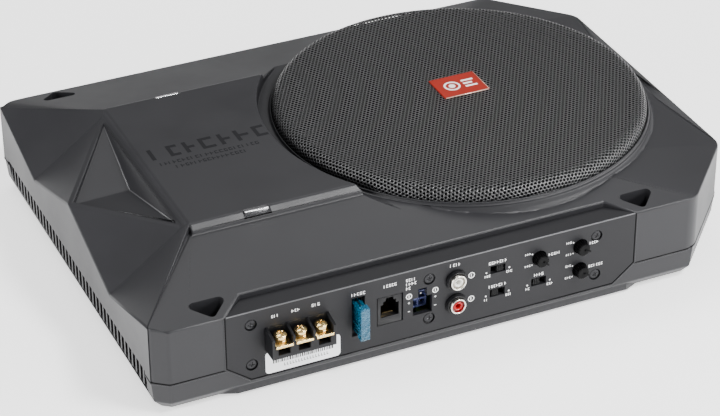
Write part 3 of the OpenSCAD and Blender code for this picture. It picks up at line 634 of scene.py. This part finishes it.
def build_seams():
    low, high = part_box("control_panel")
    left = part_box("top_lid")[0].x
    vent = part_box("vent_louvre")
    stops = [Vector((high.x, FACE, SEAM_Z)), Vector((left, vent[1].y, SEAM_Z)),
             Vector((left, vent[0].y, SEAM_Z)), Vector((low.x, FACE, SEAM_Z))]
    corners = sorted(case_outline(SEAM_Z))
    for k in (0, 2):
        start, end = stops[k], stops[k + 1]
        first, last = math.atan2(start.y, start.x), math.atan2(end.y, end.x)
        between = [p for a, p in corners if first + 0.01 < a < last - 0.01]
        path = [start] + between + [end]
        normals = []
        for i in range(len(path)):
            along = (path[min(i + 1, len(path) - 1)] - path[max(i - 1, 0)]).normalized()
            normals.append(Vector((along.y, -along.x, 0)))
        seam("case_seam_%d" % k, path, normals)
    path = [Vector((x, FACE, z)) for x, z in (
        (low.x, SHOULDER), (low.x, low.z + NOTCH_RISE), (low.x + NOTCH_LEFT, low.z),
        (high.x - NOTCH_RIGHT, low.z), (high.x, low.z + NOTCH_RISE), (high.x, SHOULDER))]
    seam("panel_seam", path, [Vector((0, -1, 0))] * len(path))


def build_collar_bead():
    """The rounded rim of the collar around the grille."""
    middle, height, radius = GRILLE_R + 0.85 * MM, 61.8 * MM, 0.45 * MM
    section = [(middle + radius * math.cos(t), height + radius * math.sin(t))
               for t in (math.radians(a) for a in range(-60, 241, 30))]
    ring, faces = lathe(section, 180)
    shade(add_faces("collar_bead", [Vector(v) + WOOFER for v in ring], faces, paint, "housing",
                    "case_paint"))


def build_edge_beads():
    """Fine edge beads in a lighter paint, as a painted highlight: the brow above the panel, and
    the two sides of the sunken pocket.
    """
    bm = bmesh.new()
    low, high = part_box("control_panel")
    brow = max(v.co.z for v in nodes["control_panel"].data.vertices if v.co.y < FACE + 0.2 * MM)
    y, z = FACE + 0.3 * MM, brow - 0.1 * MM
    add_rod(bm, (low.x + 0.6 * MM, y, z), (high.x - 0.6 * MM, y, z), 0.38 * MM, 12)
    for side in (-1, 1):
        add_rod(bm, POCKET_POINT, Vector((-133.4, side * 53.5, 65.2)) * MM, 0.4 * MM, 12)
    shade(add_solid("edge_beads", bm, edge_highlight, "housing"))


def build_vent_fronts():
    """A deep black sheet behind the vent, as painted shade seen through its slots, and fronts in
    the case paint on its ribs.
    """
    low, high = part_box("vent_louvre")
    inset = 0.5 * MM
    bm = bmesh.new()
    add_box(bm, (high.x - 0.4 * MM, low.y + inset, low.z + inset),
            (high.x, high.y - inset, high.z - inset))
    add_solid("vent_shade_backing", bm, deep_black, "housing")
    bm = bmesh.new()
    for i in range(-VENT_RIBS, VENT_RIBS + 1):
        y = i * VENT_PITCH
        add_box(bm, (low.x - 0.2 * MM, y - RIB_HALF, low.z + 0.4 * MM),
                (low.x + 0.15 * MM, y + RIB_HALF, high.z - 0.4 * MM))
    add_solid("vent_rib_fronts", bm, paint, "housing")


build_seams()
build_collar_bead()
build_edge_beads()
build_vent_fronts()


# ---------------------------------------------------------------- screws
THREADS = 9


def cross_depth(x, y, reach, width, depth):
    """Depth of a Phillips recess at a point of the head."""
    arm = 0.0
    for along, across in ((x, y), (y, x)):
        side = max(0.0, 1 - max(0.0, abs(across) - width / 2) / (width * 0.22))
        end = max(0.0, 1 - max(0.0, abs(along) - reach) / (width * 0.3))
        arm = max(arm, side * end)
    return depth * arm


def phillips_head(radius, height, crown, recess):
    """Head about +Z with its seat at z = 0: (verts, faces)."""
    sides, rings = 56, 20
    verts, faces = [(0, 0, height + crown - recess)], []
    for k in range(1, rings + 1):
        r = radius * k / rings
        fillet = max(0.0, (k / rings - 0.86) / 0.14)
        for i in range(sides):
            a = 2 * math.pi * i / sides
            x, y = r * math.cos(a), r * math.sin(a)
            z = height + crown * (1 - (k / rings) ** 2) - 0.22 * height * fillet ** 2
            z -= cross_depth(x, y, radius * 0.5, radius * 0.17, recess)
            verts.append((x, y, z))
    last = len(verts) - sides
    for i in range(sides):
        a = 2 * math.pi * i / sides
        verts.append((radius * math.cos(a), radius * math.sin(a), 0))
    for i in range(sides):
        j = (i + 1) % sides
        faces.append((0, 1 + i, 1 + j))
        for k in range(rings):
            b = 1 + k * sides
            faces.append((b + i, b + sides + i, b + sides + j, b + j))
    faces.append(tuple(last + sides + i for i in reversed(range(sides))))
    return verts, faces


def build_panel_screws():
    """Six countersunk-looking pan screws in round pockets, each turned its own way."""
    low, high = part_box("panel_screws")
    edge = 2.9 * MM
    head_y = FACE + 1.2 * MM
    rng = np.random.default_rng(4)
    head = phillips_head(2.75 * MM, 0.7 * MM, 0.35 * MM, 0.55 * MM)
    parts = []
    for x in (low.x + edge, centre_of("high_level_socket").x + 3.85 * MM, high.x - edge):
        for z in (low.z + edge, high.z - edge):
            spin = Matrix.Rotation(rng.uniform(0, math.pi), 4, "Z")
            parts.append((*head, out_of_panel(x, head_y, z) @ spin))
    obj = add_faces("panel_screw_heads", *merged(parts), screw_dark, "housing", "screw_steel")
    shade(obj)
    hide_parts("panel_screws")


def build_terminal_screw(node, body, turn_deg):
    """Phillips head on a two-turn spring washer, with a threaded shank down to the node's foot."""
    low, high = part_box(node)
    mid = (low + high) / 2
    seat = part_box("clamp_remote")[1].z + 0.05 * MM
    depth = seat - low.z
    washer = [(1.7, 0), (3.25, 0), (3.4, 0.3), (3.25, 0.6), (2.4, 0.65),
              (2.4, 0.85), (3.1, 0.9), (3.2, 1.15), (3.1, 1.4), (1.7, 1.4)]
    neck = [(0.1, 0.9), (2.1, 0.9), (2.1, 1.55), (0.1, 1.55)]
    thread = [(0.05 * MM, -depth)]
    for i in range(THREADS):
        z = -depth + depth * i / THREADS
        thread += [(1.25 * MM, z), (1.6 * MM, z + depth / (2 * THREADS))]
    thread += [(1.25 * MM, 0), (0.05 * MM, 0)]
    spot = Matrix.Translation((mid.x, mid.y, seat))
    spin = Matrix.Rotation(math.radians(turn_deg), 4, "Z")
    parts = [(*phillips_head(3.55 * MM, 1.7 * MM, 0.95 * MM, 0.8 * MM),
              spot @ Matrix.Translation((0, 0, 1.5 * MM)) @ spin),
             (*lathe([(r * MM, z * MM) for r, z in washer], 40), spot),
             (*lathe([(r * MM, z * MM) for r, z in neck], 32), spot),
             (*lathe(thread, 32), spot)]
    obj = add_faces(node + "_turned", *merged(parts), gold, body, "terminal_gold")
    shade(obj, 38)
    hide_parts(node)


build_panel_screws()
for node, body, turn in (("screw_battery", "battery_screw", 12),
                         ("screw_remote", "remote_screw", 31),
                         ("screw_ground", "ground_screw", 68)):
    build_terminal_screw(node, body, turn)


# ---------------------------------------------------------------- knobs
FLUTES = 18
KNOB_WELL = 4.4 * MM  # how far the cap goes down into its recess


def build_knob(node, body, pointer_deg):
    """Fluted cap with a raised pointer rib, on a short stem."""
    low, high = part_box(node)
    mid = (low + high) / 2
    radius = (high.x - low.x) / 2
    length = FACE - low.y
    sides, dish = 144, 0.25 * MM
    levels = [(0.30, length), (0.72, length), (0.86, length * 0.985), (0.93, length * 0.94),
              (0.96, length * 0.8), (1.0, length * 0.2), (1.0, -KNOB_WELL)]
    verts, faces = [(0, 0, length - dish)], []
    for share, z in levels:
        for i in range(sides):
            a = 2 * math.pi * i / sides
            notch = 0.5 - 0.5 * math.cos(FLUTES * a)
            cut = 0.11 * (1 - notch) ** 2 if share > 0.8 else 0.0
            r = radius * (share - cut)
            verts.append((r * math.cos(a), r * math.sin(a), z - (dish if share < 0.5 else 0.0)))
    for i in range(sides):
        j = (i + 1) % sides
        faces.append((0, 1 + i, 1 + j))
        for k in range(len(levels) - 1):
            b = 1 + k * sides
            faces.append((b + i, b + sides + i, b + sides + j, b + j))
    faces.append(tuple(1 + (len(levels) - 1) * sides + i for i in reversed(range(sides))))
    turn = out_of_panel(mid.x, FACE, mid.z)
    obj = add_faces(node + "_cap", placed(verts, turn), faces, knob_black, body, "knob_black")
    shade(obj, 40)
    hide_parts(node)
    bm = bmesh.new()
    add_box(bm, (-0.42 * MM, radius * 0.1, length - 0.35 * MM),
            (0.42 * MM, radius * 1.12, length + 0.35 * MM))
    spin = Matrix.Rotation(math.radians(pointer_deg), 4, "Z")
    bmesh.ops.transform(bm, matrix=turn @ spin, verts=bm.verts)
    rib = add_solid(node + "_pointer", bm, knob_black, body)
    soften(rib, 0.15 * MM)
    bm = bmesh.new()
    add_rod(bm, (mid.x, FACE + KNOB_WELL, mid.z), (mid.x, high.y, mid.z), 1.5 * MM)
    stem = add_solid(node + "_stem", bm, bright_steel, body)
    soften(stem, 0.15 * MM)


for node, body, turn in (("crossover_knob", "crossover_dial", -128),
                         ("level_knob", "level_dial", -112),
                         ("boost_knob", "boost_dial", -118)):
    build_knob(node, body, turn)


# ---------------------------------------------------------------- fuse
def build_fuse():
    """Translucent blade fuse: stepped head, ribs inside it, and the folded element."""
    low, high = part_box("fuse_body")
    mid = (low + high) / 2
    step = low.y + 4.2 * MM
    bm = bmesh.new()
    add_box(bm, (low.x, low.y, low.z), (high.x, step, high.z))
    add_box(bm, (low.x + 0.7 * MM, step, low.z + 1.2 * MM),
            (high.x - 0.7 * MM, high.y, high.z - 1.2 * MM))
    shell = add_solid("fuse_shell", bm, fuse_blue, "fuse")
    soften(shell, 0.45 * MM, 3)

    def box_about(bm, x, z, half_x, half_z, y0, y1):
        add_box(bm, (x - half_x * MM, y0, z - half_z * MM), (x + half_x * MM, y1, z + half_z * MM))

    bm = bmesh.new()
    for side in (-1, 1):
        for z in (-7.4, -2.6, 2.6, 7.4):
            box_about(bm, mid.x + side * 2.0 * MM, mid.z + z * MM, 0.45, 0.8,
                      step + 0.2 * MM, high.y - 0.4 * MM)
    ribs = add_solid("fuse_ribs", bm, fuse_blue, "fuse")
    soften(ribs, 0.25 * MM)
    bm = bmesh.new()
    for side in (-1, 1):
        box_about(bm, mid.x, mid.z + side * 6.3 * MM, 0.34, 2.4,
                  low.y + 3.0 * MM, high.y - 0.2 * MM)
    for k in range(6):
        y = low.y + (5.0 + 1.2 * (k % 2)) * MM
        box_about(bm, mid.x, mid.z + (k - 2.5) * 1.5 * MM, 0.3, 0.75, y, y + 1.2 * MM)
    element = add_solid("fuse_element", bm, bright_steel, "fuse")
    soften(element, 0.08 * MM)
    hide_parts("fuse_body")


build_fuse()


# ---------------------------------------------------------------- line inputs
def build_line_input(node, mat, slot_name):
    """Insert with a dished mouth, a rolled nickel barrel and a collar; gives back the barrel."""
    low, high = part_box(node)
    mid = (low + high) / 2
    radius = (high.x - low.x) / 2 / MM
    turn = out_of_panel(mid.x, low.y, mid.z)

    def turned(part, profile, rise, sides, mat, slot, sharp=None):
        """A ring from (radius, depth) points in millimetres, below a height on its axis."""
        ring, faces = lathe([(r * MM, rise - d * MM) for r, d in profile], sides)
        obj = add_faces(node + part, placed(ring, turn), faces, mat, "housing", slot)
        shade(obj, sharp)
        return obj

    mouth = [(radius, 2.9), (2.5, 2.7), (2.4, 0.5), (2.25, 0.1), (2.0, 0.0), (1.7, 0.3),
             (1.45, 1.0), (1.4, 9.0), (1.3, 9.2), (1.3, 11.5), (radius, 11.5)]
    insert = turned("_dished", mouth, 0.0, 64, mat, slot_name, 50)
    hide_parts(node)
    barrel = [(4.3, 12.0), (4.3, 0.45), (4.18, 0.12), (3.9, 0.0), (3.62, 0.12), (3.5, 0.45),
              (3.5, 12.0)]
    tube = turned("_barrel", barrel, 0.35 * MM, 72, nickel, "rca_nickel")
    collar = [(5.3, 5.3), (5.3, 0.4), (5.2, 0.15), (5.0, 0.0), (4.75, 0.0), (4.45, 0.3),
              (4.45, 5.3)]
    turned("_collar", collar, low.y + 2.3 * MM - FACE, 72, block_black, "block_black")
    return tube


first_barrel = build_line_input("rca_insert_left", rca_white, "rca_white")
build_line_input("rca_insert_right", rca_red, "rca_red")
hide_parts("rca_barrels")


# ---------------------------------------------------------------- printed marks
INK = 0.05 * MM
DECK_TOP = 69 * MM


class Printer:
    """Collects thin marks, in millimetres: x and z on the panel's face, or x and y on a deck."""

    def __init__(self, seed, level=None):
        self.bm = bmesh.new()
        self.rng = np.random.default_rng(seed)
        self.level = level

    def bar(self, x0, z0, x1, z1):
        if self.level is None:
            add_box(self.bm, (x0 * MM, FACE - INK, z0 * MM), (x1 * MM, FACE + INK, z1 * MM))
        else:
            add_box(self.bm, (x0 * MM, z0 * MM, self.level - INK),
                    (x1 * MM, z1 * MM, self.level + INK))

    def strokes(self, x, z, width, height):
        """A row of unreadable upright and level strokes that fills the place of a word."""
        at, stem = x, height * 0.2
        while at < x + width:
            wide = height * self.rng.uniform(0.5, 0.72)
            kind = self.rng.integers(0, 4)
            self.bar(at, z, at + stem, z + height)
            if kind != 1:
                self.bar(at + stem, z + height * (0.8 if kind else 0.4), at + wide,
                         z + height * (1.0 if kind else 0.6))
            if kind > 1:
                self.bar(at + stem, z, at + wide, z + stem)
            if kind == 3:
                self.bar(at + wide - stem, z + stem, at + wide, z + height * 0.5)
            at += wide + height * 0.3

    def centred(self, x, z, width, height=1.7):
        self.strokes(x - width / 2, z, width, height)

    def dot(self, x, z, radius=0.45):
        x, z = x * MM, z * MM
        add_rod(self.bm, (x, FACE + INK, z), (x, FACE - INK, z), radius * MM, 20)

    def ring(self, x, z, radius):
        inner, half = radius - 0.45, 0.05
        section = [(inner, -half), (radius, -half), (radius, half), (inner, half)]
        ring, ring_faces = lathe(section, 40)
        base = [self.bm.verts.new((x * MM + a * MM, FACE + h * MM, z * MM + b * MM))
                for a, b, h in ring]
        for f in ring_faces:
            self.bm.faces.new([base[i] for i in f])

    def finish(self, name, mat):
        bmesh.ops.recalc_face_normals(self.bm, faces=self.bm.faces)
        add_solid(name, self.bm, mat, "housing")


def face_mm(node):
    """The middle of a node on the panel's face, in millimetres: (x, z)."""
    middle = centre_of(node)
    return middle.x / MM, middle.z / MM


def print_panel():
    """Unreadable marks where the panel has words: heights and widths in millimetres."""
    ink = Printer(11)
    for i, clamp in enumerate(("clamp_battery", "clamp_remote", "clamp_ground")):
        ink.centred(face_mm(clamp)[0] - 0.6, 43.9 + 0.25 * i, 4.2)
    ink.centred(face_mm("fuse_body")[0], 44.2, 7.6)
    ink.centred(face_mm("remote_jack")[0], 44.4, 6.6)
    socket_x = face_mm("high_level_socket")[0]
    for row, width in enumerate((4.6, 5.0, 2.0)):
        ink.strokes(socket_x - 9.2, 44.6 - 2.5 * row, width, 1.7)
    for x in (socket_x - 7.6, socket_x + 7.2):
        ink.ring(x, 35.4, 1.7)
        ink.bar(x - 0.25, 34.6, x + 0.25, 36.2)
        for z in (31.4, 26.2):
            ink.bar(x - 0.6, z - 0.18, x + 0.6, z + 0.18)
        ink.bar(x - 0.18, 30.8, x + 0.18, 32.0)
    line_x = face_mm("rca_insert_left")[0]
    ink.centred(line_x - 0.6, 46.6, 5.6)
    for insert in ("rca_insert_left", "rca_insert_right"):
        z = face_mm(insert)[1]
        ink.ring(line_x + 8.9, z + 0.2, 1.8)
        ink.bar(line_x + 8.5, z - 0.7, line_x + 9.0, z + 1.1)
    for slider, width, shift in (("sense_slider", 10.5, -1.3), ("load_slider", 10.0, 1.3),
                                 ("phase_slider", 5.6, 1.3)):
        x, z = face_mm(slider)
        x += shift
        ink.centred(x, z + 3.4, width)
        for side in (-1, 1):
            ink.dot(x + side * 6.6, z - 0.9)
            ink.centred(x + side * 6.2, z - 3.9, 2.6, 1.4)
    for knob, width in (("crossover_knob", 6.6), ("level_knob", 5.4), ("boost_knob", 8.6)):
        x, z = face_mm(knob)
        ink.strokes(x + 5.4, z - 0.4, width, 1.6)
        for up in (-1, 1):
            ink.dot(x - 4.3, z + up * 3.3, 0.4)
            ink.strokes(x - 8.4, z + up * 3.6 - 0.4, 2.7, 1.3)
    ink.finish("panel_print", ink_white)


def print_serial_label():
    """Bar strip and a row of strokes, without numbers."""
    low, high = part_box("serial_label")
    rng = np.random.default_rng(7)
    bm = bmesh.new()

    def bar(x, wide, z0, z1):
        add_box(bm, (x, low.y - INK, low.z + z0 * MM), (x + wide, low.y + INK, low.z + z1 * MM))

    x = low.x + 4 * MM
    while x < high.x - 4 * MM:
        wide = rng.uniform(0.35, 0.95) * MM
        bar(x, wide, 5.4, 10.4)
        x += wide + rng.uniform(0.35, 0.6) * MM
    x = low.x + 10 * MM
    while x < high.x - 7 * MM:
        bar(x, 0.9 * MM, 2.6, 2.95)
        bar(x, 0.3 * MM, 2.6, 4.3)
        x += 1.55 * MM
    add_solid("serial_bars", bm, ink_black, "housing")


def print_deck():
    """Three rows of plain strokes, darker and glossier than the paint around them."""
    ink = Printer(23, DECK_TOP)
    ink.strokes(-124, 1.5, 66, 11)
    ink.strokes(-122, -5.4, 56, 2.8)
    ink.strokes(-115, -10.6, 40, 2.8)
    ink.finish("deck_mark", deck_gloss)


print_panel()
print_serial_label()
print_deck()


# ---------------------------------------------------------------- badge
def build_badge():
    """Moulded plate with a painted highlight along two edges and a raised plain emblem: a ring,
    its hub and bars.
    """
    low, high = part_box("grille_badge")
    mid = (low + high) / 2
    bm = bmesh.new()
    add_box(bm, low, high)
    plate = add_solid("badge_plate", bm, badge_red, "housing")
    soften(plate, 0.3 * MM, 3)
    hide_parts("grille_badge")
    inset, inward, z = 0.55 * MM, 0.12 * MM, high.z - 0.28 * MM
    bm = bmesh.new()
    add_rod(bm, (low.x + inset, low.y + inward, z), (high.x - inset, low.y + inward, z),
            0.3 * MM, 10)
    add_rod(bm, (high.x - inward, low.y + inset, z), (high.x - inward, high.y - inset, z),
            0.3 * MM, 10)
    shade(add_solid("badge_highlight", bm, badge_highlight, "housing"))
    top, relief = high.z - 0.02 * MM, 0.14 * MM
    emblem = Vector((mid.x - 4.2 * MM, mid.y, top))
    ring, faces = lathe([(3.6 * MM, 0), (4.7 * MM, 0), (4.7 * MM, relief), (3.6 * MM, relief)], 56)
    mark = add_faces("badge_ring", [Vector(v) + emblem for v in ring], faces, badge_ink,
                     "housing", "badge_red")
    mark.data.shade_flat()
    bm = bmesh.new()
    add_rod(bm, emblem, emblem + Vector((0, 0, relief)), 1.9 * MM, 40)
    for k, length in enumerate((7.2, 5.4, 7.2)):
        y = mid.y + (1 - k) * 3.2 * MM
        add_box(bm, (mid.x + 2.6 * MM, y - 0.75 * MM, top),
                (mid.x + (2.6 + length) * MM, y + 0.75 * MM, top + relief))
    bars = add_solid("badge_bars", bm, badge_ink, "housing")
    soften(bars, 0.06 * MM)


build_badge()


# ---------------------------------------------------------------- camera, floor and light
CAMERA_AZIMUTH = -24.126
CAMERA_ELEVATION = 32.209
CAMERA_ROLL = -0.345
CAMERA_DISTANCE = 1.38286
CAMERA_TARGET = Vector((-0.01002, -0.00975, 0.01597))
LENS, SENSOR = 125.98, 36
FLOOR_GLOW, SKY = 1.1, 0.3
LIGHTS = (  # name, place, aim, width, power, height
    ("left_box", (-1.5, -0.2, 0.46), (0, 0, 0.03), 1.2, 27, 0.6),
    ("right_box", (1.4, -0.6, 0.34), (0.05, 0, 0.03), 1.2, 16, 0.6),
    ("back_box", (0.6, 0.75, 1.25), (0.05, -0.1, 0.03), 0.7, 4.5, 0.45),
    ("top_box", (-0.25, 0.45, 1.4), (0, 0, 0.03), 0.6, 8, 0.6),
    ("front_box", (0.5, -0.75, 1.2), (0, 0, 0.03), 0.45, 24, 0.26),
    ("roll_box", (0.75, -1.1, 0.42), (0.05, 0, 0.03), 0.9, 12, 0.3),
)


def build_camera():
    az, el, roll = (math.radians(v) for v in (CAMERA_AZIMUTH, CAMERA_ELEVATION, CAMERA_ROLL))
    back = Vector((math.sin(az) * math.cos(el), -math.cos(az) * math.cos(el), math.sin(el)))
    right = Vector((math.cos(az), math.sin(az), 0))
    up = back.cross(right)
    right, up = (right * math.cos(roll) + up * math.sin(roll),
                 up * math.cos(roll) - right * math.sin(roll))
    data = bpy.data.cameras.new("photo_camera")
    data.lens = LENS
    data.sensor_width = SENSOR
    data.clip_start, data.clip_end = 0.05, 20
    cam = bpy.data.objects.new("photo_camera", data)
    spot = CAMERA_TARGET + back * CAMERA_DISTANCE
    cam.matrix_world = Matrix.Translation(spot) @ Matrix((right, up, back)).transposed().to_4x4()
    bpy.context.scene.collection.objects.link(cam)
    bpy.context.scene.camera = cam


def area_light(name, spot, aim, width, power, height):
    data = bpy.data.lights.new(name, "AREA")
    data.shape = "RECTANGLE"
    data.size, data.size_y = width, height
    data.energy = power
    obj = bpy.data.objects.new(name, data)
    obj.location = spot
    obj.rotation_mode = "QUATERNION"
    obj.rotation_quaternion = (Vector(aim) - Vector(spot)).to_track_quat("-Z", "Y")
    bpy.context.scene.collection.objects.link(obj)


def build_stage():
    """White floor that glows a little, a pale sky and six soft boxes."""
    bm = bmesh.new()
    bmesh.ops.create_grid(bm, x_segments=2, y_segments=2, size=6)
    floor_mat = surface("floor_white", (0.93, 0.93, 0.93), 0.85, spread=0.01, grain=60,
                        bump=(1e-5, 0.1), specular=0.1)
    glow = floor_mat.node_tree.nodes["Principled BSDF"]
    glow.inputs["Emission Color"].default_value = (1, 1, 1, 1)
    glow.inputs["Emission Strength"].default_value = FLOOR_GLOW
    floor = new_object("floor", mesh_from("floor", bm), floor_mat)
    world = bpy.data.worlds.new("studio")
    world.use_nodes = True
    sky = world.node_tree.nodes["Background"]
    sky.inputs["Color"].default_value = (1, 1, 1, 1)
    sky.inputs["Strength"].default_value = SKY
    bpy.context.scene.world = world
    for light in LIGHTS:
        area_light(*light)


build_camera()
build_stage()
